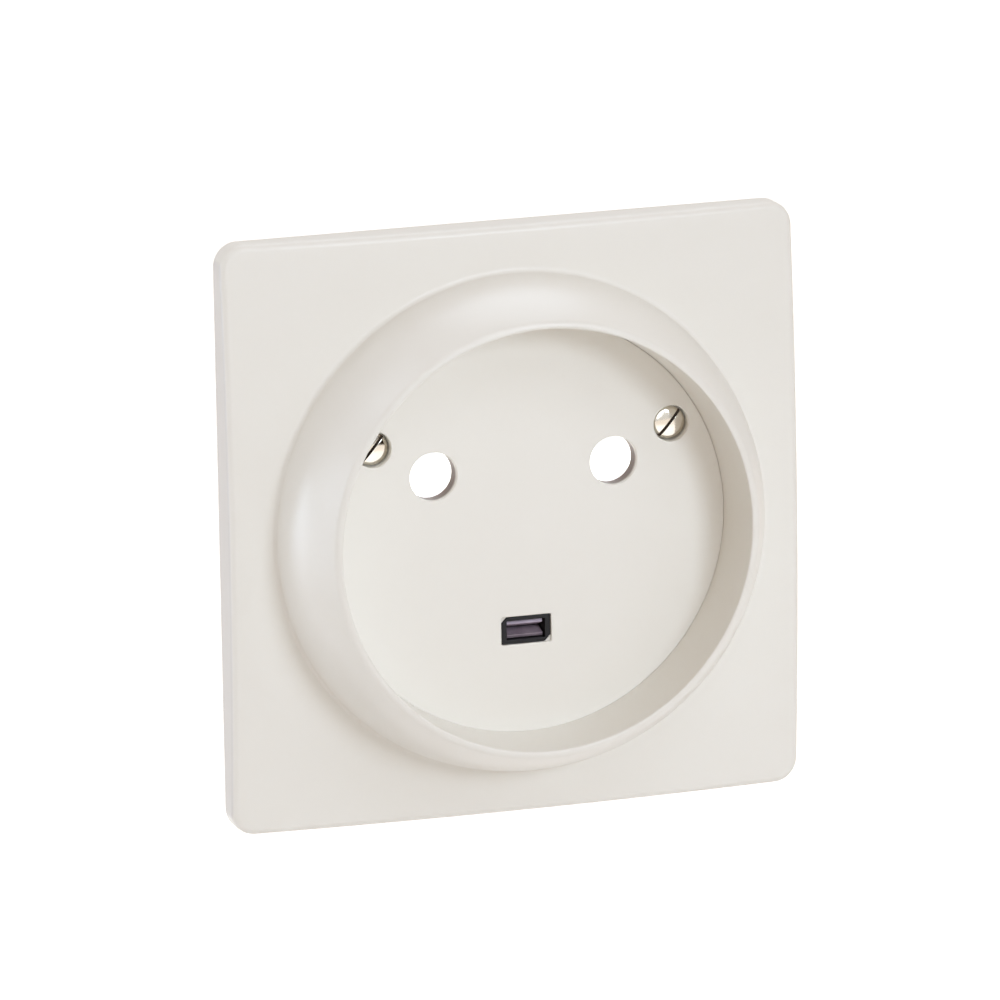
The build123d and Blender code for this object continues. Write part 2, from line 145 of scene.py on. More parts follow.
class Bench:
    """Nodes of one material, of the world or of one Geometry Nodes tree."""

    def __init__(self, tree: bpy.types.NodeTree) -> None:
        """Start on an empty tree."""
        tree.nodes.clear()
        self.tree = tree

    def add(
        self,
        kind: str,
        settings: dict[str, object] | None = None,
        inputs: dict[int | str, object] | None = None,
        output: int | str = 0,
    ) -> Field:
        """Add one node.

        Args:
            kind: The node's type.
            settings: Its own properties, set before its sockets.
            inputs: Values or fields of its sockets, by place or by identifier.
            output: Place or identifier of the output that is wanted.

        Returns:
            The output as a field.
        """
        node = self.tree.nodes.new(kind)
        for name, value in (settings or {}).items():
            setattr(node, name, value)
        for key, value in (inputs or {}).items():
            socket = self.socket(node.inputs, key)
            if isinstance(value, Field):
                self.tree.links.new(value.socket, socket)
            else:
                socket.default_value = value
        return Field(self, self.socket(node.outputs, output) if node.outputs else None)

    @staticmethod
    def socket(sockets: bpy.types.bpy_prop_collection, key: int | str) -> bpy.types.NodeSocket:
        """Socket at a place or with an identifier."""
        if isinstance(key, int):
            return sockets[key]
        return next(socket for socket in sockets if socket.identifier == key)

    def part(self, place: Field, axis: str) -> Field:
        """X, Y or Z of a place."""
        return self.add("ShaderNodeSeparateXYZ", {}, {"Vector": place}, axis)

    def noise(self, place: Field, scale: float, detail: float = 2.0, roughness: float = 0.5) -> Field:
        """Cloudy values about 0.5; the scale counts clouds in a metre."""
        inputs = {"Vector": place, "Scale": scale, "Detail": detail, "Roughness": roughness}
        return self.add("ShaderNodeTexNoise", {}, inputs, "Fac")

    def blend(self, share: Field, first: "Field | Tone", second: "Field | Tone") -> Field:
        """Colour between two tones or colours."""
        ends = [end if isinstance(end, Field) else linear(end) for end in (first, second)]
        inputs = {"Factor_Float": share, "A_Color": ends[0], "B_Color": ends[1]}
        return self.add("ShaderNodeMix", {"data_type": "RGBA"}, inputs, "Result_Color")

    def ramp(self, value: Field, start: float, end: float) -> Field:
        """Share of the way from one value to another, kept between 0 and 1."""
        inputs = {"Value": value, "From Min": start, "From Max": end}
        return self.add("ShaderNodeMapRange", {}, inputs, "Result")

    def bump(self, height: Field, depth: float, below: Field | None = None) -> Field:
        """Normal of a relief that is so many metres deep, on another relief if one is given."""
        inputs: dict[int | str, object] = {"Height": height, "Distance": depth, "Strength": 1.0}
        if below is not None:
            inputs["Normal"] = below
        return self.add("ShaderNodeBump", {}, inputs, "Normal")


# Clouds in a metre, octaves and weight of the finer ones, as Bench.noise takes them
MOTTLE = (60.0, 4.0, 0.6)
HANDLING = (170.0, 5.0, 0.65)
RIPPLE = (85.0, 1.0)
PATCHES = (420.0, 5.0, 0.6)
SCRATCHES = (2400.0, 4.0, 0.6)
BURR = (2600.0, 3.0)
RING_WOBBLE = 900.0
# Radians in a metre of the rings that turning leaves
RING_PITCH = 52000.0


@dataclass(frozen=True)
class PaintedRecessShade:
    """Painted shade: a darker tone below a height, standing in for the shade that falls in a recess.

    Attributes:
        start: Height in millimetres at which it begins.
        full: Height at which it covers everything.
        tone: Its tone on a screen.
        half_width: Distance from the middle in X to which it reaches.
        fade: Width of its edge there.
    """

    start: float
    full: float
    tone: Tone
    half_width: float = 100.0
    fade: float = 0.3

    def over(self, bench: Bench, place: Field, colour: Field, within: Field | float = 1.0) -> Field:
        """Colour with the painted shade on it, as far as a share of 0 to 1 lets it reach."""
        aside = abs(bench.part(place, "X"))
        near = bench.ramp(aside, (self.half_width + self.fade) * MM, self.half_width * MM)
        share = bench.ramp(0.0 - bench.part(place, "Y"), self.start * MM, self.full * MM) * near * within
        return bench.blend(share, colour, self.tone)


@dataclass(frozen=True)
class PaintedSideShade:
    """Painted shade: a duller tone on a moulding's left and right side faces, standing in for the lesser
    light on them.

    Attributes:
        start: Distance from the middle in X at which it begins, in millimetres.
        full: Distance at which it covers everything.
        tone: Its tone on a screen.
    """

    start: float
    full: float
    tone: Tone

    def over(self, bench: Bench, place: Field, colour: Field) -> Field:
        """Colour with the painted shade on the side faces."""
        share = bench.ramp(abs(bench.part(place, "X")), self.start * MM, self.full * MM)
        return bench.blend(share, colour, self.tone)


@dataclass(frozen=True)
class Finish:
    """Look of a piece.

    Attributes:
        name: Name of the material.
        tone: Main tone on a screen.
        patch_tone: Tone of its mottle or of its duller patches.
        roughness: Mean roughness.
        roughness_spread: How far handling or marks move the roughness.
    """

    name: str
    tone: Tone
    patch_tone: Tone
    roughness: float
    roughness_spread: float

    def inputs(self, bench: Bench, place: Field) -> dict[int | str, object]:
        """Values and fields of the shader's sockets."""
        raise NotImplementedError

    def roughened(self, marks: Field) -> Field:
        """Roughness that marks from 0 to 1 move about its mean."""
        return self.roughness + (marks - 0.5) * self.roughness_spread

    def material(self) -> bpy.types.Material:
        """The material, made once."""
        made = bpy.data.materials.get(self.name)
        if made is None:
            made = bpy.data.materials.new(self.name)
            made.use_nodes = True
            bench = Bench(made.node_tree)
            place = bench.add("ShaderNodeTexCoord", {}, {}, "Object")
            shader = bench.add("ShaderNodeBsdfPrincipled", {}, self.inputs(bench, place))
            bench.add("ShaderNodeOutputMaterial", {}, {"Surface": shader})
        return made


@dataclass(frozen=True)
class MouldedPlastic(Finish):
    """Moulded plastic with a faint mottle and a fine skin.

    Attributes:
        skin_scale: Grains of the skin in a metre.
        skin_depth: Depth of the skin in metres.
        glow: Painted light: emission in the piece's own tone, so that it glows though it is no lamp.
        painted_shade: Painted shade in its recesses or on its side faces.
        specular: How strongly its skin mirrors, 0.5 being usual for plastics.
    """

    skin_scale: float
    skin_depth: float
    glow: float = 0.0
    painted_shade: PaintedRecessShade | PaintedSideShade | None = None
    specular: float = 0.5

    def inputs(self, bench: Bench, place: Field) -> dict[int | str, object]:
        """Values and fields of the shader's sockets."""
        colour = bench.blend(bench.noise(place, *MOTTLE), self.tone, self.patch_tone)
        ripple = bench.bump(bench.noise(place, *RIPPLE), self.skin_depth * 4)
        # The base colour carries the painted shade, where one is given.
        inputs: dict[int | str, object] = {
            "Base Color": self.painted_shade.over(bench, place, colour) if self.painted_shade else colour,
            "Roughness": self.roughened(bench.noise(place, *HANDLING)),
            "Specular IOR Level": self.specular,
            "Normal": bench.bump(bench.noise(place, self.skin_scale, 3.0), self.skin_depth, ripple),
        }
        # Painted light: the emission lets the piece glow in its own tone.
        if self.glow:
            inputs["Emission Color"] = linear(self.tone)
            inputs["Emission Strength"] = self.glow
        return inputs


@dataclass(frozen=True)
class PlatedMetal(Finish):
    """Bare or plated metal that keeps the marks of its making.

    Attributes:
        grain: Kind of the marks.
        relief: Depth of the marks in metres.
        axis: Places in X and Z, left and right alike, that turned rings run round, in millimetres.
        slot: Half width in millimetres and slant in degrees of the slot across each axis.
        painted_shade: Painted shade in that slot, which darkens a screw's slot.
        metallic: How much of it is bare metal.
    """

    grain: Grain
    relief: float
    axis: tuple[float, float] = (0.0, 0.0)
    slot: tuple[float, float] = (0.0, 0.0)
    painted_shade: PaintedRecessShade | None = None
    metallic: float = 1.0

    def in_slot(self, bench: Bench, place: Field) -> Field:
        """1 in the slot and 0 on the head beside it."""
        x, z = bench.part(place, "X"), bench.part(place, "Z")
        half, slant = self.slot[0] * MM, math.radians(self.slot[1])
        aside, above = x - x.sign() * (self.axis[0] * MM), z - self.axis[1] * MM
        across = aside * math.sin(slant) - above * math.cos(slant)
        return bench.ramp(abs(across), half * 1.15, half * 0.95)

    def marks(self, bench: Bench, place: Field) -> Field:
        """Height of the marks, from 0 to 1."""
        if self.grain is Grain.TURNED:
            x, z = bench.part(place, "X"), bench.part(place, "Z")
            off_axis = ((abs(x) - self.axis[0] * MM) ** 2.0 + (z - self.axis[1] * MM) ** 2.0) ** 0.5
            wobble = bench.noise(place, RING_WOBBLE) * 5.0
            rings = (off_axis * RING_PITCH + wobble).sine() * 0.5 + 0.5
            return rings * 0.6 + bench.noise(place, *BURR) * 0.4
        stretch = (1.0, 1.0, 0.035) if self.grain is Grain.ROLLED else (1.0, 1.0, 1.0)
        drawn = bench.add("ShaderNodeMapping", {}, {"Vector": place, "Scale": stretch})
        return bench.noise(drawn, *SCRATCHES)

    def inputs(self, bench: Bench, place: Field) -> dict[int | str, object]:
        """Values and fields of the shader's sockets."""
        marks = self.marks(bench, place)
        colour = bench.blend(bench.noise(place, *PATCHES), self.tone, self.patch_tone)
        # Painted shade darkens the slot of each screw head.
        if self.painted_shade:
            colour = self.painted_shade.over(bench, place, colour, self.in_slot(bench, place))
        return {
            "Base Color": colour,
            "Metallic": self.metallic,
            "Roughness": self.roughened(marks),
            "Normal": bench.bump(marks, self.relief),
        }


IVORY = MouldedPlastic("moulded_ivory", (236, 233, 225), (238, 235, 228), 0.33, 0.10, 4200.0, 2.0e-6)
# Painted shade on the plate's left and right side faces.
IVORY_PLATE = replace(IVORY, name="moulded_ivory_plate", painted_shade=PaintedSideShade(39.8, 39.97, (217, 214, 210)))
# The disc's tone is painted a little lighter to offset the shade of the recess, and painted shade darkens the
# walls of its pin holes and slot.
IVORY_DISC = replace(
    IVORY, name="moulded_ivory_disc", tone=(239, 236, 228), patch_tone=(241, 238, 231),
    painted_shade=PaintedRecessShade(8.0, 7.3, (98, 70, 52), 17.0), specular=0.3,
)
# The shutter glows with painted light, an emission of 0.9, so that it shows white in the pin holes.
WHITE = MouldedPlastic("moulded_white", (250, 250, 248), (252, 252, 250), 0.38, 0.08, 3600.0, 2.0e-6, 0.9)
BLACK = MouldedPlastic(
    "moulded_black", (27, 26, 27), (34, 33, 34), 0.46, 0.16, 3300.0, 9.0e-6, specular=0.2
)
# Painted shade darkens the slots of the cover screws.
NICKEL = PlatedMetal(
    "bright_nickel", (224, 219, 208), (202, 193, 180), 0.09, 0.05, Grain.TURNED, 1.2e-6,
    axis=(20.826, 12.058), slot=(0.2, 49.0), painted_shade=PaintedRecessShade(7.6, 7.3, (62, 52, 44)),
)
TINNED = PlatedMetal(
    "tinned_sheet", (186, 171, 182), (98, 86, 96), 0.52, 0.22, Grain.TUMBLED, 5.0e-6, metallic=0.5
)
BRASS = PlatedMetal("rolled_brass", (222, 196, 128), (196, 162, 92), 0.27, 0.18, Grain.ROLLED, 2.0e-6)
STEEL = PlatedMetal("zinc_steel", (206, 208, 208), (186, 186, 180), 0.33, 0.20, Grain.ROLLED, 2.5e-6)


class Profile:
    """Section drawn run by run as (outwards, height), with rounded corners between the runs."""

    SUPPORT = 0.12
    ROUND_STEPS = 8
    BOW_STEPS = 44

    def __init__(self, outwards: float, height: float) -> None:
        """Start at a point."""
        self.end = np.array((outwards, height), float)
        self.runs: list[np.ndarray] = []
        self.rounds: list[float] = []

    def line(self, outwards: float, height: float, corner: float = 0.0) -> "Profile":
        """Go straight to a point.

        Args:
            outwards: First coordinate of the point.
            height: Second coordinate of the point.
            corner: Radius of the corner at the run's start.

        Returns:
            The profile itself.
        """
        end = np.array((outwards, height), float)
        return self._add(np.array([self.end, end]), corner)

    def bow(self, outwards: float, height: float, rise: float, corner: float = 0.0) -> "Profile":
        """Go to a point on an arc that rises to the left of its chord.

        Args:
            outwards: First coordinate of the point.
            height: Second coordinate of the point.
            rise: Height of the arc over its chord.
            corner: Radius of the corner at the run's start.

        Returns:
            The profile itself.
        """
        end = np.array((outwards, height), float)
        chord = end - self.end
        half = np.linalg.norm(chord) / 2
        radius = (half**2 + rise**2) / (2 * rise)
        along = chord / (2 * half)
        left = np.array((-along[1], along[0]))
        spread = math.asin(half / radius)
        centre = (self.end + end) / 2 + left * (rise - radius)
        angles = np.linspace(-spread, spread, self.BOW_STEPS + 1)[:, None]
        return self._add(centre + radius * (np.sin(angles) * along + np.cos(angles) * left), corner)

    def _add(self, run: np.ndarray, corner: float) -> "Profile":
        """Keep a run and the radius of the corner that it starts with."""
        self.runs.append(run)
        self.rounds.append(corner)
        self.end = run[-1]
        return self

    @staticmethod
    def trimmed(run: np.ndarray, head: float, tail: float) -> np.ndarray:
        """Run without a length at its head and one at its tail."""
        steps = np.linalg.norm(np.diff(run, axis=0), axis=1)
        marks = np.concatenate(((0.0,), np.cumsum(steps)))
        wanted = [head, *[m for m in marks if head + 1e-6 < m < marks[-1] - tail - 1e-6], marks[-1] - tail]
        return np.column_stack([np.interp(wanted, marks, run[:, axis]) for axis in (0, 1)])

    @classmethod
    def rounded(cls, first: np.ndarray, last: np.ndarray, control: np.ndarray, turn: float) -> np.ndarray:
        """Points of a round corner between two ends whose tangents meet in a control point."""
        share = np.linspace(0, 1, cls.ROUND_STEPS + 1)[1:-1, None]
        weights = ((1 - share) ** 2, 2 * math.cos(turn / 2) * share * (1 - share), share**2)
        return (weights[0] * first + weights[1] * control + weights[2] * last) / sum(weights)

    def points(self) -> np.ndarray:
        """All points from start to end, with rows that keep the straight runs flat."""
        runs = [run.copy() for run in self.runs]
        corners: dict[int, np.ndarray] = {}
        for i in range(1, len(runs)):
            if self.rounds[i] <= 0:
                continue
            heading, leaving = runs[i - 1][-1] - runs[i - 1][-2], runs[i][1] - runs[i][0]
            cosine = heading @ leaving / np.linalg.norm(heading) / np.linalg.norm(leaving)
            turn = math.acos(max(-1.0, min(1.0, cosine)))
            setback = self.rounds[i] * math.tan(turn / 2)
            control = runs[i][0].copy()
            runs[i - 1] = self.trimmed(runs[i - 1], 0, setback)
            runs[i] = self.trimmed(runs[i], setback, 0)
            corners[i] = self.rounded(runs[i - 1][-1], runs[i][0], control, turn)
        parts: list[np.ndarray] = []
        for i, run in enumerate(runs):
            if i in corners:
                parts.append(corners[i])
            length = np.linalg.norm(run[-1] - run[0])
            if len(run) == 2 and length > 3 * self.SUPPORT:
                ends = (run[-1] - run[0]) * self.SUPPORT / length
                run = np.array([run[0], run[0] + ends, run[-1] - ends, run[-1]])
            parts.append(run)
        merged = np.concatenate(parts)
        keep = np.concatenate(((True,), np.linalg.norm(np.diff(merged, axis=0), axis=1) > 1e-6))
        return merged[keep]


@dataclass(frozen=True)
class Outline:
    """Closed outline in a plane parallel to the wall.

    Attributes:
        points: Places in X and Z.
        normals: Directions that an offset follows.
    """

    points: np.ndarray
    normals: np.ndarray

    @classmethod
    def circle(cls, x: float, z: float, radius: float, steps: int) -> "Outline":
        """Round outline about a centre."""
        angles = np.linspace(0, math.tau, steps, endpoint=False)
        normals = np.column_stack((np.cos(angles), np.sin(angles)))
        return cls(np.array((x, z)) + radius * normals, normals)

    @classmethod
    def rectangle(
        cls, z: float, width: float, height: float, corner: float, side_steps: int, corner_steps: int
    ) -> "Outline":
        """Rectangle with round corners, centred on x = 0.

        Args:
            z: Height of its centre on the wall.
            width: Whole width.
            height: Whole height.
            corner: Radius of the corners.
            side_steps: Divisions of a side.
            corner_steps: Divisions of a corner.

        Returns:
            The outline, from its upper right corner onwards.
        """
        inner = np.array((width / 2 - corner, height / 2 - corner))
        points, normals = [], []
        turns = ((1, 1), (-1, 1), (-1, -1), (1, -1))
        for quarter, signs in enumerate(turns):
            following = np.array(turns[(quarter + 1) % 4])
            for step in range(corner_steps + 1):
                angle = (quarter + step / corner_steps) * math.pi / 2
                normal = np.array((math.cos(angle), math.sin(angle)))
                points.append(inner * signs + corner * normal)
                normals.append(normal)
            start, end = points[-1], inner * following + corner * normals[-1]
            for step in range(1, side_steps):
                points.append(start + (end - start) * step / side_steps)
                normals.append(normals[-1])
        return cls(np.array(points) + np.array((0, z)), np.array(normals))

    def keyed(self, cut: float) -> "Outline":
        """Outline cut off straight at its upper left and lower right corners."""
        lowest, highest = self.points.min(axis=0), self.points.max(axis=0)
        points = self.points.copy()
        for corner, inwards in (((lowest[0], highest[1]), (1, -1)), ((highest[0], lowest[1]), (-1, 1))):
            across, along = ((self.points - corner) * inwards).T
            inside = across + along < cut
            share = ((across - along + cut) / 2)[inside, None]
            points[inside] = corner + np.column_stack((share, cut - share)) * inwards
        return Outline(points, self.normals)

    def at(self, offset: float, height: float | np.ndarray) -> np.ndarray:
        """Points in space at a height, moved outwards by an offset."""
        flat = self.points + offset * self.normals
        return np.column_stack((flat[:, 0], -np.broadcast_to(height, len(flat)), flat[:, 1]))


class Shell:
    """Points in millimetres and faces of one mesh, gathered strip by strip."""

    def __init__(self) -> None:
        """Start with nothing."""
        self.points: list[np.ndarray] = []
        self.faces: list[tuple[int, ...]] = []

    def _keep(self, points: np.ndarray) -> int:
        """Add points and give the number of the first."""
        first = sum(len(part) for part in self.points)
        self.points.append(np.asarray(points, float))
        return first

    def face(self, points: np.ndarray) -> None:
        """Add one flat face."""
        first = self._keep(points)
        self.faces.append(tuple(range(first, first + len(points))))

    def grid(self, rows: Sequence[np.ndarray], ring: bool = False, closed: bool = True) -> None:
        """Join rows of equal length.

        Args:
            rows: The rows, from one end to the other.
            ring: Join the last row to the first.
            closed: Join the last point of each row to its first.
        """
        count, width = len(rows), len(rows[0])
        first = self._keep(np.concatenate(rows))
        for k in range(count if ring else count - 1):
            here, there = first + k * width, first + (k + 1) % count * width
            for j in range(width if closed else width - 1):
                nxt = (j + 1) % width
                self.faces.append((here + j, here + nxt, there + nxt, there + j))

    def cap(self, loops: Sequence[np.ndarray]) -> None:
        """Close a flat region at one height; the first loop is its border, the others are holes."""
        flat = [Vector((point[0], point[2])) for loop in loops for point in loop]
        edges, first = [], 0
        for loop in loops:
            edges += [(first + i, first + (i + 1) % len(loop)) for i in range(len(loop))]
            first += len(loop)
        points, _, triangles, *_ = delaunay_2d_cdt(flat, edges, [], 1, 1e-6)
        start = self._keep(np.array([(p.x, loops[0][0][1], p.y) for p in points]))
        for triangle in triangles:
            middle = sum((points[i] for i in triangle), Vector((0.0, 0.0))) / 3
            if not any(self.encloses(hole, middle) for hole in loops[1:]):
                self.faces.append(tuple(start + i for i in triangle))

    @staticmethod
    def encloses(loop: np.ndarray, point: Vector) -> bool:
        """Whether a point in X and Z lies inside a loop, from how often a line out of it crosses."""
        x, z = loop[:, 0], loop[:, 2]
        next_x, next_z = np.roll(x, -1), np.roll(z, -1)
        beside = (z > point.y) != (next_z > point.y)
        rise = np.where(beside, next_z - z, 1.0)
        return int(np.sum(beside & (point.x < x + (point.y - z) / rise * (next_x - x)))) % 2 == 1

    def mesh(self, name: str, ease: float = 0.0) -> bpy.types.Mesh:
        """The mesh in metres, with its points merged and its faces turned outwards.

        Args:
            name: Name of the mesh.
            ease: Width to which its sharp edges are broken.

        Returns:
            The mesh.
        """
        mesh = bpy.data.meshes.new(name)
        mesh.from_pydata(np.concatenate(self.points) * MM, [], self.faces)
        work = bmesh.new()
        work.from_mesh(mesh)
        bmesh.ops.remove_doubles(work, verts=work.verts, dist=MERGE_DISTANCE)
        bmesh.ops.dissolve_degenerate(work, edges=work.edges, dist=MERGE_DISTANCE / 10)
        bmesh.ops.recalc_face_normals(work, faces=work.faces)
        finish_edges(work, ease)
        work.to_mesh(mesh)
        work.free()
        return mesh


def finish_edges(work: bmesh.types.BMesh, ease: float, sharp: float = 36.0) -> None:
    """Break the sharp edges of a mesh, shade it smooth and mark what stays sharp.

    Args:
        work: The mesh in work.
        ease: Width of the broken edges in millimetres, or 0 to leave them.
        sharp: Angle in degrees from which an edge counts as sharp.
    """
    limit = math.radians(sharp)
    if ease > 0:
        edges = [e for e in work.edges if e.is_manifold and e.calc_face_angle(0) > limit]
        bmesh.ops.bevel(
            work, geom=edges, offset=ease * MM, offset_type="OFFSET", segments=2, profile=0.5,
            affect="EDGES", clamp_overlap=True,
        )
    for one in work.faces:
        one.smooth = True
    for edge in work.edges:
        edge.smooth = not edge.is_manifold or edge.calc_face_angle(0) <= limit


def new_piece(name: str, mesh: bpy.types.Mesh) -> bpy.types.Object:
    """Object of a mesh, in the scene and at the origin."""
    piece = bpy.data.objects.new(name, mesh)
    bpy.context.scene.collection.objects.link(piece)
    return piece


def settle(piece: bpy.types.Object) -> None:
    """Turn a piece's modifiers into its plain mesh."""
    graph = bpy.context.evaluated_depsgraph_get()
    mesh = bpy.data.meshes.new_from_object(piece.evaluated_get(graph))
    piece.modifiers.clear()
    piece.data = mesh


def even_normals(piece: bpy.types.Object) -> None:
    """Let large flat faces keep their own shading next to broken edges."""
    modifier = piece.modifiers.new("even_normals", "WEIGHTED_NORMAL")
    modifier.keep_sharp = True
    settle(piece)


def dress(
    piece: bpy.types.Object, finish: Finish, slot: str, body: Body, *nodes: str
) -> bpy.types.Object:
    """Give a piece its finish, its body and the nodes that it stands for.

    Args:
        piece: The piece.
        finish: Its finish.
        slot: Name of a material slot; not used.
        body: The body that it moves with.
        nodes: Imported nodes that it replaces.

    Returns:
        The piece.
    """
    piece.data.materials.clear()
    piece.data.materials.append(finish.material())
    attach(piece, body.value)
    if nodes:
        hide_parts(*nodes)
    LOG.info("%s: %d faces, rides on %s", piece.name, len(piece.data.polygons), body.value)
    return piece


def eased_copy(node: str, name: str, ease: float) -> bpy.types.Object:
    """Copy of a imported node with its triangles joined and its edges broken.

    Args:
        node: The node.
        name: Name of the copy.
        ease: Width of the broken edges in millimetres.

    Returns:
        The copy.
    """
    work = bmesh.new()
    work.from_mesh(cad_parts[node].data)
    bmesh.ops.remove_doubles(work, verts=work.verts, dist=MERGE_DISTANCE)
    bmesh.ops.dissolve_limit(
        work, angle_limit=math.radians(FLAT_ANGLE), use_dissolve_boundaries=False,
        verts=work.verts, edges=work.edges,
    )
    finish_edges(work, ease)
    mesh = bpy.data.meshes.new(name)
    work.to_mesh(mesh)
    work.free()
    piece = new_piece(name, mesh)
    even_normals(piece)
    return piece


@dataclass(frozen=True)
class Place:
    """Where one of several like pieces stands.

    Attributes:
        point: Place in millimetres.
        turn: Angles in degrees about X, Y and Z, in that order.
    """

    point: tuple[float, float, float]
    turn: tuple[float, float, float]


class NodeTree(Bench):
    """Geometry Nodes tree with named inputs, built link by link."""

    def __init__(self, name: str, inputs: dict[str, str]) -> None:
        """Start a tree.

        Args:
            name: Name of the tree.
            inputs: Socket type of each named input.
        """
        super().__init__(bpy.data.node_groups.new(name, "GeometryNodeTree"))
        sockets = self.tree.interface
        sockets.new_socket("Geometry", in_out="INPUT", socket_type="NodeSocketGeometry")
        self.names = {
            label: sockets.new_socket(label, in_out="INPUT", socket_type=kind).identifier
            for label, kind in inputs.items()
        }
        sockets.new_socket("Geometry", in_out="OUTPUT", socket_type="NodeSocketGeometry")
        self.source = self.tree.nodes.new("NodeGroupInput")

    def given(self, label: str) -> Field:
        """Value of a named input."""
        return Field(self, next(socket for socket in self.source.outputs if socket.name == label))

    def finish(self, geometry: Field) -> None:
        """Make the instances real, give them the finish and lead them out."""
        real = self.add("GeometryNodeRealizeInstances", {}, {"Geometry": geometry})
        dressed = self.add(
            "GeometryNodeSetMaterial", {}, {"Geometry": real, "Material": self.given("Finish")}
        )
        self.add("NodeGroupOutput", {}, {0: dressed})

    def run(self, piece: bpy.types.Object, values: dict[str, object]) -> None:
        """Run the tree on a piece and keep its result as a plain mesh.

        Args:
            piece: The piece.
            values: Value of each named input.
        """
        modifier = piece.modifiers.new(self.tree.name, "NODES")
        modifier.node_group = self.tree
        for label, value in values.items():
            modifier[self.names[label]] = value
        settle(piece)


class PatternSetter:
    """Sets a pattern out on marked points."""

    def __init__(self) -> None:
        """Build the tree."""
        nodes = NodeTree("set_out_pattern", {"Pattern": "NodeSocketObject", "Finish": "NodeSocketMaterial"})
        pattern = nodes.add("GeometryNodeObjectInfo", {}, {"Object": nodes.given("Pattern")}, 4)
        turn = nodes.add("GeometryNodeInputNamedAttribute", {"data_type": "FLOAT_VECTOR"}, {"Name": "turn"})
        rotation = nodes.add("FunctionNodeEulerToRotation", {}, {"Euler": turn})
        nodes.finish(
            nodes.add(
                "GeometryNodeInstanceOnPoints",
                {},
                {"Points": nodes.given("Geometry"), "Instance": pattern, "Rotation": rotation},
            )
        )
        self.nodes = nodes

    def set_out(
        self, name: str, mesh: bpy.types.Mesh, places: Sequence[Place], finish: Finish
    ) -> bpy.types.Object:
        """One piece with the pattern at every place.

        Args:
            name: Name of the piece.
            mesh: The pattern's mesh about its own origin.
            places: Where it is set out.
            finish: Finish of the piece.

        Returns:
            The piece.
        """
        pattern = new_piece(name + "_pattern", mesh)
        marks = bpy.data.meshes.new(name)
        marks.from_pydata([[value * MM for value in place.point] for place in places], [], [])
        turns = marks.attributes.new("turn", "FLOAT_VECTOR", "POINT")
        turns.data.foreach_set("vector", [math.radians(a) for place in places for a in place.turn])
        piece = new_piece(name, marks)
        self.nodes.run(piece, {"Pattern": pattern, "Finish": finish.material()})
        bpy.data.objects.remove(pattern)
        even_normals(piece)
        return piece


@dataclass(frozen=True)
class Sizes:
    """Sizes that several pieces share, in millimetres."""

    well_radius: float = 28.0146
    ledge_front: float = 5.8
    ledge_radius: float = 26.4146
    floor_height: float = 8.2
    yoke_thickness: float = 1.2
    pin_x: float = 12.62
    pin_z: float = 7.72
    slot_z: float = -14.22
    cover_screw_x: float = 20.826
    cover_screw_z: float = 12.058
    cover_bore_floor: float = 6.4


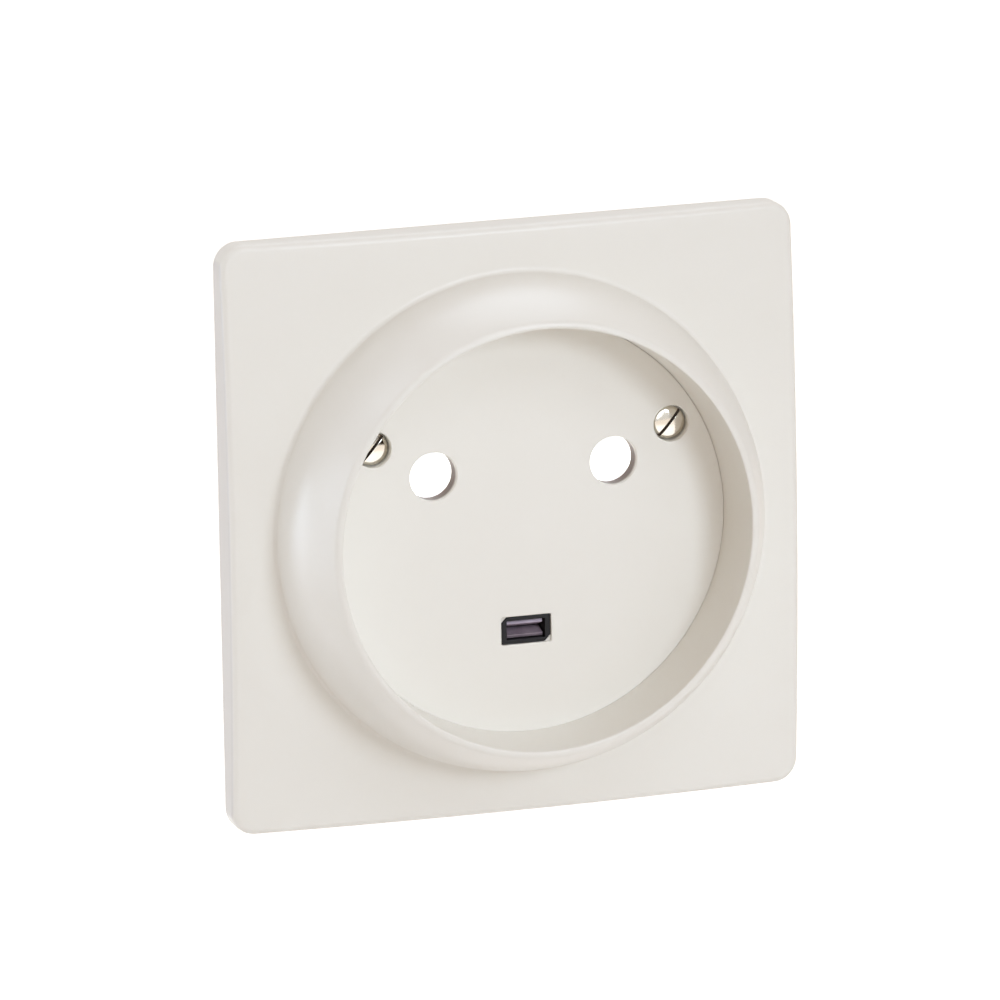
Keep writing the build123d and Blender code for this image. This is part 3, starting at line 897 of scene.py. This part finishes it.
@dataclass
class CoverPlate:
    """Crowned square plate with its raised collar, moulded in one."""

    sizes: Sizes
    size: float = 80.0
    corner: float = 3.2
    wall: float = 2.2
    crown: float = 6.75
    dome_radius: float = 470.0
    edge_round: float = 0.9
    edge_turn: float = 85.0
    side_row: float = 0.6
    collar_top: float = 18.3
    rim_radius: float = 28.55
    rim_width: float = 0.85
    rim_inner_round: float = 0.25
    rim_outer_round: float = 1.0
    foot_radius: float = 33.8
    foot_round: float = 0.7
    foot_reach: float = 1.0
    flank_rise: float = 0.9
    edge_break: float = 0.15
    core_wall: float = 1.9
    core_top: float = 12.5
    core_tip: float = 0.4
    core_middle: float = 31.0
    rib_thickness: float = 1.4
    rib_reach: float = 12.0
    rib_overlap: float = 0.3
    side_steps: int = 56
    corner_steps: int = 12
    edge_steps: int = 12
    outline: Outline = field(init=False)

    def __post_init__(self) -> None:
        """Lay the plate's outline; its points are the columns of the mesh."""
        self.outline = Outline.rectangle(
            0.0, self.size, self.size, self.corner, self.side_steps, self.corner_steps
        )

    def dome(self, flat: np.ndarray, depth: float = 0.0) -> np.ndarray:
        """Height of the crown, or of a sphere that lies deeper, over places in X and Z."""
        reach = (self.dome_radius - depth) ** 2 - np.sum(np.square(flat), axis=-1)
        return np.sqrt(reach) - (self.dome_radius - self.crown)

    def dome_at(self, radius: float, depth: float = 0.0) -> float:
        """Height of the crown at a distance from the centre."""
        return float(self.dome(np.array((radius, 0.0)), depth))

    def turned(self, section: np.ndarray) -> list[np.ndarray]:
        """Rows of a turned section, one point in each column."""
        angles = np.arctan2(self.outline.points[:, 1], self.outline.points[:, 0])
        return [
            np.column_stack((r * np.cos(angles), np.full(len(angles), -h), r * np.sin(angles)))
            for r, h in section
        ]

    def collar(self) -> list[np.ndarray]:
        """Rows from the ledge up the well, over the rim and down the flank to its hollow foot."""
        foot_end = self.foot_radius + self.foot_reach
        section = (
            Profile(self.sizes.ledge_radius, self.sizes.ledge_front)
            .line(self.sizes.well_radius, self.sizes.ledge_front)
            .line(self.rim_radius, self.collar_top, 0.1)
            .line(self.rim_radius + self.rim_width, self.collar_top, self.rim_inner_round)
            .bow(self.foot_radius, self.dome_at(self.foot_radius), self.flank_rise, self.rim_outer_round)
            .line(foot_end, self.dome_at(foot_end), self.foot_round)
        )
        return self.turned(section.points())

    def field_rows(
        self, circle: float, inset: float, depth: float, shares: Sequence[float]
    ) -> list[np.ndarray]:
        """Rows between a circle and the inset outline, on the crown or on a sphere below it.

        Args:
            circle: Radius of the circle.
            inset: Distance of the outline from the plate's edge.
            depth: Depth of the sphere below the crown.
            shares: Share of the way from the circle to the outline, row by row.

        Returns:
            The rows.
        """
        angles = np.arctan2(self.outline.points[:, 1], self.outline.points[:, 0])
        inner = circle * np.column_stack((np.cos(angles), np.sin(angles)))
        outer = self.outline.points - inset * self.outline.normals
        rows = []
        for share in shares:
            flat = inner + (outer - inner) * share
            rows.append(np.column_stack((flat[:, 0], -self.dome(flat, depth), flat[:, 1])))
        return rows

    def edge(self) -> list[np.ndarray]:
        """Rows round the plate's front edge, down its side, under it and up inside."""
        outline, ease, side, wall = self.outline, self.edge_break, self.side_row, -self.wall
        top = self.dome(outline.points)
        start = self.dome(outline.points - self.edge_round * outline.normals)
        ceiling = self.dome(outline.points - self.wall * outline.normals, self.wall)
        rows = []
        bend = 2 * math.cos(math.radians(self.edge_turn / 2))
        for share in np.linspace(0, 1, self.edge_steps + 1)[1:]:
            first, middle, last = (1 - share) ** 2, bend * share * (1 - share), share**2
            total = first + middle + last
            height = (first * start + middle * top + last * (top - self.edge_round)) / total
            rows.append(outline.at(-first * self.edge_round / total, height))
        # Distance outwards and height of each row below the round
        below = (
            (0.0, top - self.edge_round - 0.2), (0.0, side), (0.0, ease), (-0.3 * ease, 0.3 * ease),
            (-ease, 0.0), (-0.4, 0.0), (wall + 0.4, 0.0), (wall + ease, 0.0),
            (wall + 0.3 * ease, 0.3 * ease), (wall, ease), (wall, side), (wall, ceiling - side),
            (wall, ceiling - side / 2), (wall - 0.09, ceiling - 0.09),
        )
        return rows + [outline.at(outwards, height) for outwards, height in below]

    def core(self) -> list[np.ndarray]:
        """Rows of the groove that is cored out behind the collar, and of the ledge's back."""
        draft = (self.rim_radius - self.sizes.well_radius) / (self.collar_top - self.sizes.ledge_front)
        tip = self.sizes.well_radius + draft * (self.core_top - self.sizes.ledge_front) + self.core_wall
        root_in, root_out = self.sizes.well_radius + self.core_wall, self.foot_radius - self.core_wall
        ceiling = self.dome_at(self.core_middle, self.wall)
        share = ceiling / self.core_top
        outer = root_out + (tip + self.core_tip - root_out) * share
        inner = root_in + (tip - root_in) * share
        section = (
            Profile(outer, self.dome_at(outer, self.wall))
            .line(tip + self.core_tip, self.core_top, 0.0)
            .line(tip, self.core_top, 0.1)
            .line(inner, self.dome_at(inner, self.wall), 0.1)
            .line(self.sizes.ledge_radius, self.dome_at(self.sizes.ledge_radius, self.wall))
        )
        return self.turned(section.points())

    def build(self, setter: PatternSetter) -> None:
        """Make the plate and its ribs, and dress them.

        Args:
            setter: Sets the ribs out on the diagonals.
        """
        steps = (0.06, 0.14, 0.24, 0.34, 0.44, 0.54, 0.64, 0.74, 0.83, 0.9, 0.96, 1.0)
        collar, core = self.collar(), self.core()
        front = self.field_rows(self.foot_radius + self.foot_reach, self.edge_round, 0.0, steps)
        groove = float(np.linalg.norm(core[0][0, [0, 2]]))
        behind = self.field_rows(groove, self.wall + 0.3, self.wall, tuple(1 - s for s in (0.0, *steps[:-1])))
        shell = Shell()
        shell.grid([*collar, *front, *self.edge(), *behind, *core], ring=True)
        plate = new_piece("cover_plate_moulding", shell.mesh("cover_plate_moulding"))
        dress(plate, IVORY_PLATE, "ivory_plastic", Body.SOCKET, "cover_plate")
        dress(self.ribs(setter), IVORY, "ivory_plastic", Body.SOCKET)

    def ribs(self, setter: PatternSetter) -> bpy.types.Object:
        """Four ribs behind the plate, which stand on the yoke."""
        start = self.foot_radius - self.core_wall / 2
        top = self.dome_at(start, self.wall) + self.rib_overlap - self.sizes.yoke_thickness
        half = self.rib_thickness / 2
        shell = Shell()
        end = start + self.rib_reach
        corners = ((start, -half), (end, -half), (end, half), (start, half))
        for height in (0.0, top):
            shell.face(np.array([(x, y, height) for x, y in corners]))
        low, high = shell.points
        shell.grid([low, high])
        seat = (0.0, -self.sizes.yoke_thickness, 0.0)
        places = [Place(seat, (90.0, 45.0 + 90.0 * quarter, 0.0)) for quarter in range(4)]
        return setter.set_out("cover_plate_ribs", shell.mesh("rib", 0.12), places, IVORY)


@dataclass
class RecessDisc:
    """Disc that closes the recess, with pin holes, earth slot and screw bores."""

    sizes: Sizes
    gap: float = 0.024
    taper: float = 0.1
    lean: tuple[float, float] = (-0.012, -0.02)
    edge_round: float = 0.05
    hole_ease: float = 0.14
    pin_hole_radius: float = 3.28
    slot_width: float = 7.0
    slot_height: float = 3.8
    slot_corner: float = 0.2
    key_cut: float = 0.8586
    key_recess: float = 0.35
    bore_radius: float = 2.45
    clearance_radius: float = 1.75
    spigot_gap: float = 0.1
    spigot_wall: float = 0.42
    spigot_depth: float = 1.6
    rim_steps: int = 256
    hole_steps: int = 96
    bore_steps: int = 72

    def rim_section(self, ease: float) -> list[tuple[float, float]]:
        """Offsets and heights of an eased edge at the disc's front, from the flat face down."""
        front = self.sizes.floor_height
        angles = np.linspace(0, math.pi / 2, 6)
        rows = [(ease + 0.12, front)]
        return rows + [(ease * (1 - math.sin(a)), front - ease * (1 - math.cos(a))) for a in angles]

    def build(self) -> None:
        """Make the disc and dress it."""
        sizes, shell = self.sizes, Shell()
        back = sizes.ledge_front
        radius = sizes.well_radius + self.taper - self.gap
        rim = Outline.circle(*self.lean, radius, self.rim_steps)
        spigot = sizes.ledge_radius - self.spigot_gap - radius
        inner = spigot - self.spigot_wall
        section = [(-d, h) for d, h in self.rim_section(self.edge_round)]
        section += [(-self.taper, back + 0.1), (-self.taper - 0.1, back), (spigot, back)]
        section += [(spigot, back - self.spigot_depth), (inner, back - self.spigot_depth), (inner, back)]
        rows = [rim.at(offset, height) for offset, height in section]
        shell.grid(rows)
        fronts, backs = [rows[0]], [rows[-1]]
        holes = [
            Outline.circle(side * sizes.pin_x, sizes.pin_z, self.pin_hole_radius, self.hole_steps)
            for side in (-1, 1)
        ]
        slot = Outline.rectangle(sizes.slot_z, self.slot_width, self.slot_height, self.slot_corner, 10, 5)
        below = [*holes, slot.keyed(self.key_cut)]
        step_height = sizes.floor_height - self.key_recess
        for hole, lower in zip([*holes, slot], below):
            rows = [hole.at(offset, height) for offset, height in self.rim_section(self.hole_ease)]
            rows += [hole.at(0.0, step_height)]
            rows += [lower.at(0.0, height) for height in (step_height, back + 0.2, back)]
            shell.grid(rows)
            fronts.append(rows[0])
            backs.append(rows[-1])
        step = self.clearance_radius - self.bore_radius
        for side in (-1, 1):
            x, z, floor = side * sizes.cover_screw_x, sizes.cover_screw_z, sizes.cover_bore_floor
            bore = Outline.circle(x, z, self.bore_radius, self.bore_steps)
            section = self.rim_section(self.hole_ease)
            section += [(0.0, floor + 0.1), (-0.1, floor), (step, floor), (step, back)]
            rows = [bore.at(offset, height) for offset, height in section]
            shell.grid(rows)
            fronts.append(rows[0])
            backs.append(rows[-1])
        shell.cap(fronts)
        shell.cap(backs)
        disc = new_piece("recess_disc", shell.mesh("recess_disc"))
        dress(disc, IVORY_DISC, "ivory_plastic", Body.SOCKET, "socket_front")


@dataclass(frozen=True)
class SlottedScrew:
    """Screw with a slotted head that stands on its seat along +Z."""

    head_radius: float
    head_height: float
    shank_radius: float
    shank_length: float
    crown: float = 0.2
    edge_round: float = 0.35
    slot_width: float = 0.5
    slot_depth: float = 0.6
    ease: float = 0.045
    steps: int = 40

    def mesh(self, name: str) -> bpy.types.Mesh:
        """The screw's mesh: two halves beside the slot on one round body."""
        half, floor = self.slot_width / 2, self.head_height - self.slot_depth
        section = (
            Profile(half, self.head_height)
            .bow(self.head_radius, self.head_height - self.crown, self.crown / 4)
            .line(self.head_radius, floor, self.edge_round)
            .points()
        )
        # The crown is nearly flat, so every sixth of its rows is enough
        bow = Profile.BOW_STEPS
        section = np.concatenate((section[:bow:6], section[bow:]))
        shell = Shell()
        rows = []
        for radius, height in section:
            start = math.asin(min(1.0, half / radius))
            rows.append(self.ring(np.linspace(start, math.pi - start, self.steps + 1), radius, height))
        for sign in (1.0, -1.0):
            flip = np.array((sign, sign, 1.0))
            turned = [row * flip for row in rows]
            shell.grid(turned, closed=False)
            edge = [row[-1] for row in reversed(turned)] + [row[0] for row in turned[1:]]
            shell.face(np.array(edge))
        opening = math.asin(half / self.head_radius)
        mouth = np.linspace(-opening, opening, 5)
        ends = np.concatenate((mouth, mouth + math.pi))
        shell.face(self.ring(ends, self.head_radius, floor))
        sides = np.linspace(opening, math.pi - opening, self.steps + 1)[1:-1]
        around = np.concatenate((mouth, sides, mouth + math.pi, sides + math.pi))
        tip = 0.4 * self.shank_radius
        body = ((self.head_radius, floor), (self.head_radius, 0.0), (self.shank_radius, 0.0))
        body += ((self.shank_radius, tip - self.shank_length), (self.shank_radius - tip, -self.shank_length))
        circles = [self.ring(around, radius, height) for radius, height in body]
        shell.grid(circles)
        shell.face(circles[-1])
        return shell.mesh(name, self.ease)

    @staticmethod
    def ring(angles: np.ndarray, radius: float, height: float) -> np.ndarray:
        """Points on a circle about the screw's axis."""
        level = np.full(len(angles), height)
        return np.column_stack((radius * np.cos(angles), radius * np.sin(angles), level))


@dataclass
class Screws:
    """All screws of the socket, set out group by group."""

    sizes: Sizes
    slot_turn: float = 49.0
    yoke_screw_z: float = 23.8146
    back_screw_x: float = 18.4993
    back_screw_z: float = -12.4781
    back_plane: float = -30.0
    back_head_height: float = 1.6
    terminal_middle: float = -22.3
    terminal_head_seat: float = 6.7

    def build(self, setter: PatternSetter) -> None:
        """Make every group and dress it.

        Args:
            setter: Sets the screws out on their places.
        """
        sizes, sides = self.sizes, (-1, 1)
        cover = SlottedScrew(2.25, 1.2, 1.45, 7.9, crown=0.3, slot_width=0.4)
        x, z = sizes.cover_screw_x, sizes.cover_screw_z
        turn = (90.0, -self.slot_turn, 0.0)
        places = [Place((side * x, -sizes.cover_bore_floor, z), turn) for side in sides]
        self._group(setter, "cover_screws", cover, places, NICKEL, "nickel_plate")
        yoke = SlottedScrew(2.1, 1.3, 1.1, 8.0)
        turn = (90.0, 0.0, 0.0)
        places = [Place((0.0, -sizes.yoke_thickness, -side * self.yoke_screw_z), turn) for side in sides]
        self._group(setter, "yoke_screws", yoke, places, STEEL, "steel")
        back = SlottedScrew(2.4, self.back_head_height, 1.3, 18.0)
        depth, turn = -self.back_plane - self.back_head_height, (-90.0, 0.0, 0.0)
        places = [Place((side * self.back_screw_x, depth, self.back_screw_z), turn) for side in sides]
        self._group(setter, "back_screws", back, places, STEEL, "steel")
        clamp = SlottedScrew(2.4, 1.6, 1.6, 4.3)
        middle, reach = -self.terminal_middle, self.terminal_head_seat
        places = [
            Place((sizes.pin_x + reach, middle, sizes.pin_z), (0.0, 90.0, 0.0)),
            Place((-sizes.pin_x - reach, middle, sizes.pin_z), (0.0, -90.0, 0.0)),
            Place((0.0, middle, sizes.slot_z - reach), (180.0, 0.0, 0.0)),
        ]
        self._group(setter, "terminal_screws", clamp, places, STEEL, "steel")

    @staticmethod
    def _group(
        setter: PatternSetter,
        node: str,
        screw: SlottedScrew,
        places: Sequence[Place],
        finish: PlatedMetal,
        slot: str,
    ) -> None:
        """Set one group out and dress it in the place of its node."""
        piece = setter.set_out(node + "_slotted", screw.mesh(node + "_pattern"), places, finish)
        dress(piece, finish, slot, Body.SOCKET, node)


@dataclass
class SafetyShutter:
    """White shutter behind the pin holes, and the coil spring that holds it up."""

    sizes: Sizes
    front: float = 5.5
    lip_top: float = 4.84
    top: float = 11.5
    ramp_end: float = 0.297
    half_width: float = 3.8
    cheek: float = 0.4
    coil_radius: float = 1.5
    wire_radius: float = 0.3
    turns: float = 7.0
    bottom: float = -8.6
    length: float = 16.2
    axis_height: float = 0.05
    travel: float = 7.4

    def build(self, setter: PatternSetter) -> None:
        """Make shutter and spring, and dress them.

        Args:
            setter: Sets the cheeks out beside the ramps.
        """
        shutter = eased_copy("shutter", "shutter_moulding", 0.12)
        dress(shutter, WHITE, "white_plastic", Body.SHUTTER, "shutter")
        dress(self.cheeks(setter), WHITE, "white_plastic", Body.SHUTTER)
        spring = dress(self.spring(), STEEL, "steel", Body.SOCKET, "shutter_spring")
        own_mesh(spring)

    def cheeks(self, setter: PatternSetter) -> bpy.types.Object:
        """Low walls on both sides of each ramp, which lead a pin down it."""
        side = ((self.front, self.lip_top), (self.front, self.top), (self.ramp_end, self.top))
        faces = [np.array([(x, -h, z) for h, z in side]) for x in (-self.cheek / 2, self.cheek / 2)]
        shell = Shell()
        for one in faces:
            shell.face(one)
        shell.grid(faces)
        reach = self.half_width - self.cheek / 2
        places = [
            Place((pin * self.sizes.pin_x + edge * reach, 0.0, 0.0), (0.0, 0.0, 0.0))
            for pin in (-1, 1) for edge in (-1, 1)
        ]
        return setter.set_out("shutter_cheeks", shell.mesh("shutter_cheek", 0.08), places, WHITE)

    def spring(self) -> bpy.types.Object:
        """Coil of wire along Z."""
        lengths = ("Coil Radius", "Wire Radius", "Turns", "Length")
        inputs = {label: "NodeSocketFloat" for label in lengths}
        inputs |= {"Foot": "NodeSocketVector", "Finish": "NodeSocketMaterial"}
        nodes = NodeTree("coil_spring", inputs)
        radius = nodes.given("Coil Radius")
        path = nodes.add(
            "GeometryNodeCurveSpiral",
            {},
            {
                "Resolution": 40,
                "Rotations": nodes.given("Turns"),
                "Start Radius": radius,
                "End Radius": radius,
                "Height": nodes.given("Length"),
            },
        )
        wire = nodes.add(
            "GeometryNodeCurvePrimitiveCircle", {}, {"Resolution": 12, "Radius": nodes.given("Wire Radius")}
        )
        tube = nodes.add(
            "GeometryNodeCurveToMesh", {}, {"Curve": path, "Profile Curve": wire, "Fill Caps": True}
        )
        smooth = nodes.add("GeometryNodeSetShadeSmooth", {}, {"Geometry": tube})
        placed = nodes.add(
            "GeometryNodeTransform", {}, {"Geometry": smooth, "Translation": nodes.given("Foot")}
        )
        nodes.finish(placed)
        spring = new_piece("shutter_coil", bpy.data.meshes.new("shutter_coil"))
        values = {
            "Coil Radius": self.coil_radius * MM,
            "Wire Radius": self.wire_radius * MM,
            "Turns": self.turns,
            "Length": self.length * MM,
            "Foot": (0.0, -self.axis_height * MM, self.bottom * MM),
            "Finish": STEEL.material(),
        }
        nodes.run(spring, values)
        return spring


class BaseUnit:
    """Yoke, black base and the metal inside it."""

    EASED = (
        ("yoke", "yoke_stamping", STEEL, "steel", 0.1),
        ("base_housing", "base_front_moulding", BLACK, "black_plastic", 0.09),
        ("base_back", "base_rear_moulding", BLACK, "black_plastic", 0.2),
        ("earth_contact", "earth_fork", TINNED, "tinned_brass", 0.06),
        ("line_terminal", "line_clamp", BRASS, "brass", 0.1),
        ("neutral_terminal", "neutral_clamp", BRASS, "brass", 0.1),
        ("earth_terminal", "earth_clamp", BRASS, "brass", 0.1),
        ("line_contact", "line_tube", BRASS, "brass", 0.06),
        ("neutral_contact", "neutral_tube", BRASS, "brass", 0.06),
        ("contact_springs", "tube_clips", STEEL, "steel", 0.05),
    )

    def build(self) -> None:
        """Make an eased copy of every node and dress it."""
        for node, name, finish, slot, ease in self.EASED:
            dress(eased_copy(node, name, ease), finish, slot, Body.SOCKET, node)


DAYLIGHT: Tone = (226, 240, 255)
COOL: Tone = (221, 237, 255)


@dataclass(frozen=True)
class SoftLamp:
    """Round area lamp that looks at the socket.

    Attributes:
        name: Name of the lamp.
        azimuth: Degrees to the right of the socket's axis, so that 180 is behind it.
        elevation: Degrees above it.
        size: Diameter in metres.
        power: Watts.
        tone: Tone of its light on a screen.
        distance: Metres from the socket.
    """

    name: str
    azimuth: float
    elevation: float
    size: float
    power: float
    tone: Tone = DAYLIGHT
    distance: float = 1.6

    @staticmethod
    def direction(azimuth: float, elevation: float) -> Vector:
        """Direction from the socket at two angles in degrees."""
        a, e = math.radians(azimuth), math.radians(elevation)
        return Vector((math.sin(a) * math.cos(e), -math.cos(a) * math.cos(e), math.sin(e)))

    def build(self) -> None:
        """Put the lamp into the scene."""
        lamp = bpy.data.lights.new(self.name, "AREA")
        lamp.shape = "DISK"
        lamp.size = self.size
        lamp.energy = self.power
        lamp.color = linear(self.tone)[:3]
        out = self.direction(self.azimuth, self.elevation)
        holder = bpy.data.objects.new(self.name, lamp)
        holder.location = out * self.distance
        holder.rotation_euler = out.to_track_quat("Z", "Y").to_euler()
        bpy.context.scene.collection.objects.link(holder)


@dataclass
class Studio:
    """Pale floor, soft lamps and a white surround."""

    floor_drop: float = 0.45
    floor_radius: float = 4.0
    fill_tone: Tone = (255, 221, 184)
    fill_strength: float = 0.345
    floor_glow: float = 1.0
    floor_tone: Tone = (238, 237, 235)
    flag_azimuth: float = 60.0
    flag_elevation: float = -8.0
    flag_edge: tuple[float, float] = (44.0, 28.0)
    flag_tone: Tone = (52, 40, 30)
    lamps: tuple[SoftLamp, ...] = (
        SoftLamp("key", 18.0, 17.0, 0.5, 7.9),
        SoftLamp("front_fill", -6.0, 12.0, 0.8, 2.9),
        SoftLamp("high_front", 5.0, 47.0, 0.8, 4.5),
        SoftLamp("right_fill", 50.0, 25.0, 0.7, 2.1),
        SoftLamp("left_rim", -97.0, 10.0, 0.7, 4.2, COOL),
        SoftLamp("low_left_rim", -99.0, -16.0, 0.7, 3.5, COOL),
        SoftLamp("high_left", -97.0, 48.0, 0.7, 2.8, COOL),
        SoftLamp("left_back", -125.0, -4.0, 0.6, 4.2, COOL),
        SoftLamp("high_back", 157.0, 59.0, 1.1, 6.5),
    )

    def build(self) -> None:
        """Put floor, lamps and surround into the scene."""
        bpy.context.scene.view_settings.view_transform = "Standard"
        for lamp in self.lamps:
            lamp.build()
        self._surround()
        self._floor()

    @staticmethod
    def seen(bench: Bench) -> Field:
        """1 for rays that show the background: from the camera, mirrored or through glass."""
        kinds = ("Is Camera Ray", "Is Glossy Ray", "Is Transmission Ray")
        camera, glossy, through = (bench.add("ShaderNodeLightPath", {}, {}, kind) for kind in kinds)
        return camera.greater(glossy).greater(through)

    def _surround(self) -> None:
        """World that is white to the eye and a warm fill to the surfaces."""
        world = bpy.data.worlds.new("surround")
        world.use_nodes = True
        bpy.context.scene.world = world
        bench = Bench(world.node_tree)
        seen = self.seen(bench)
        tone = bench.blend(seen, self.fill_tone, (255, 255, 255))
        tone = bench.blend(self._flag(bench), tone, self.flag_tone)
        strength = seen + (1.0 - seen) * self.fill_strength
        light = bench.add("ShaderNodeBackground", {}, {"Color": tone, "Strength": strength})
        bench.add("ShaderNodeOutputWorld", {}, {"Surface": light})

    def _flag(self, bench: Bench) -> Field:
        """1 for mirrored rays towards a dark flag on the right, which gives bright metal its contrast."""
        toward = bench.add("ShaderNodeTexCoord", {}, {}, "Generated")
        flag = tuple(SoftLamp.direction(self.flag_azimuth, self.flag_elevation))
        product = {"operation": "DOT_PRODUCT"}
        cosine = bench.add("ShaderNodeVectorMath", product, {0: toward, 1: flag}, "Value")
        start, full = (math.cos(math.radians(angle)) for angle in self.flag_edge)
        return bench.ramp(cosine, start, full) * bench.add("ShaderNodeLightPath", {}, {}, "Is Glossy Ray")

    def _floor(self) -> None:
        """Pale floor that keeps the socket's shadow."""
        shell = Shell()
        circle = Outline.circle(0, 0, self.floor_radius / MM, 96)
        flat = circle.at(0.0, 0.0)[:, [0, 2, 1]]
        shell.face(flat - np.array((0.0, 0.0, self.floor_drop / MM)))
        floor = new_piece("floor", shell.mesh("floor"))
        paint = bpy.data.materials.new("floor_paint")
        paint.use_nodes = True
        bench = Bench(paint.node_tree)
        matt = bench.add("ShaderNodeBsdfDiffuse", {}, {"Color": linear(self.floor_tone)})
        glow = bench.add("ShaderNodeEmission", {}, {"Strength": self.floor_glow})
        lit = bench.add("ShaderNodeAddShader", {}, {0: matt, 1: glow})
        mixed = bench.add("ShaderNodeMixShader", {}, {0: self.seen(bench), 1: matt, 2: lit})
        bench.add("ShaderNodeOutputMaterial", {}, {"Surface": mixed})
        floor.data.materials.append(paint)


@dataclass(frozen=True)
class Viewpoint:
    """Camera at the photograph's viewing angle.

    Attributes:
        azimuth: Degrees to the left of the socket's axis.
        elevation: Degrees above it.
        roll: Degrees by which upright lines lean to the left.
        distance: Metres from the origin.
        lens: Focal length in millimetres on a sensor 36 mm wide.
        aim: Point in the middle of the picture, right of and above the origin, in millimetres.
    """

    azimuth: float = 18.4625
    elevation: float = 12.828
    roll: float = 0.9894
    distance: float = 1.43045
    lens: float = 385.56
    aim: tuple[float, float] = (-0.657, 1.70)

    def build(self) -> None:
        """Make the scene's camera."""
        a, e, roll = (math.radians(angle) for angle in (self.azimuth, self.elevation, self.roll))
        back = Vector((-math.sin(a) * math.cos(e), -math.cos(a) * math.cos(e), math.sin(e)))
        right = Vector((math.cos(a), -math.sin(a), 0.0))
        up = back.cross(right)
        right, up = right * math.cos(roll) - up * math.sin(roll), up * math.cos(roll) + right * math.sin(roll)
        camera = bpy.data.cameras.new("viewpoint")
        camera.sensor_width = 36.0
        camera.lens = self.lens
        camera.clip_start, camera.clip_end = 0.05, 50.0
        holder = bpy.data.objects.new("viewpoint", camera)
        place = back * self.distance + (right * self.aim[0] + up * self.aim[1]) * MM
        turn = Matrix((right, up, back)).transposed().to_4x4()
        holder.matrix_world = Matrix.Translation(place) @ turn
        bpy.context.scene.collection.objects.link(holder)
        bpy.context.scene.camera = holder


def main() -> None:
    """Build the socket, its light and its viewpoint."""
    logging.basicConfig(level=logging.INFO, format="%(name)s: %(message)s")
    sizes, setter = Sizes(), PatternSetter()
    Viewpoint().build()
    CoverPlate(sizes).build(setter)
    RecessDisc(sizes).build()
    Screws(sizes).build(setter)
    SafetyShutter(sizes).build(setter)
    BaseUnit().build()
    Studio().build()
    bpy.context.view_layer.update()


if __name__ == "__main__":
    main()
